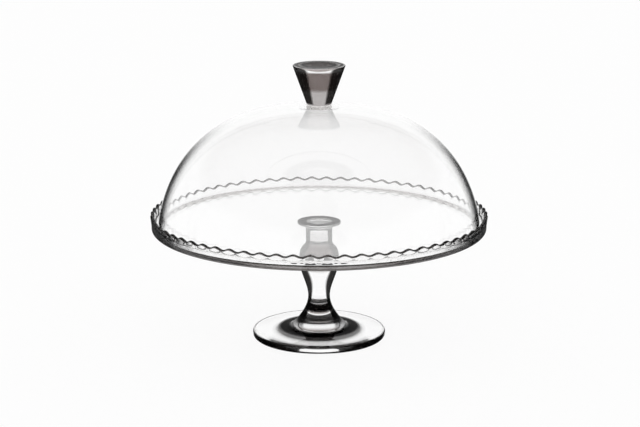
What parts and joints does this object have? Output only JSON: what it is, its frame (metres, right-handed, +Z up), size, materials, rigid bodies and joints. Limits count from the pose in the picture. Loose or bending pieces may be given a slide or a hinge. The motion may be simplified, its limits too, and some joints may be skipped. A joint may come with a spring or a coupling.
{
  "type": "cake stand with dome",
  "caption": "Footed clear glass cake stand: turned pedestal, round plate with a scalloped fluted gallery, and a lift-off glass dome with a solid cone knob.",
  "frame": {"origin": "centre of the foot's underside, on the surface that the stand rests on", "axes": "+Z up along the common axis of foot, plate, dome and knob; +X and +Y across the plate"},
  "size_m": [0.3216, 0.322, 0.2644],
  "materials": {
    "pressed_glass": "clear pressed soda-lime glass, fire polished",
    "dome_glass": "clear thin soda-lime glass, fire polished",
    "clear_bond": "clear cured adhesive film between two glass faces"
  },
  "bodies": {
    "stand": {"pedestal": "pressed_glass", "plate_bond": "clear_bond", "plate": "pressed_glass"},
    "cover": {"dome": "dome_glass", "knob_bond": "clear_bond", "knob": "pressed_glass"}
  },
  "joints": [
    {"name": "dome_lift", "type": "slide", "parent": "stand", "child": "cover", "axis": [0, 0, 1], "range_m": [0, 0.16]}
  ]
}
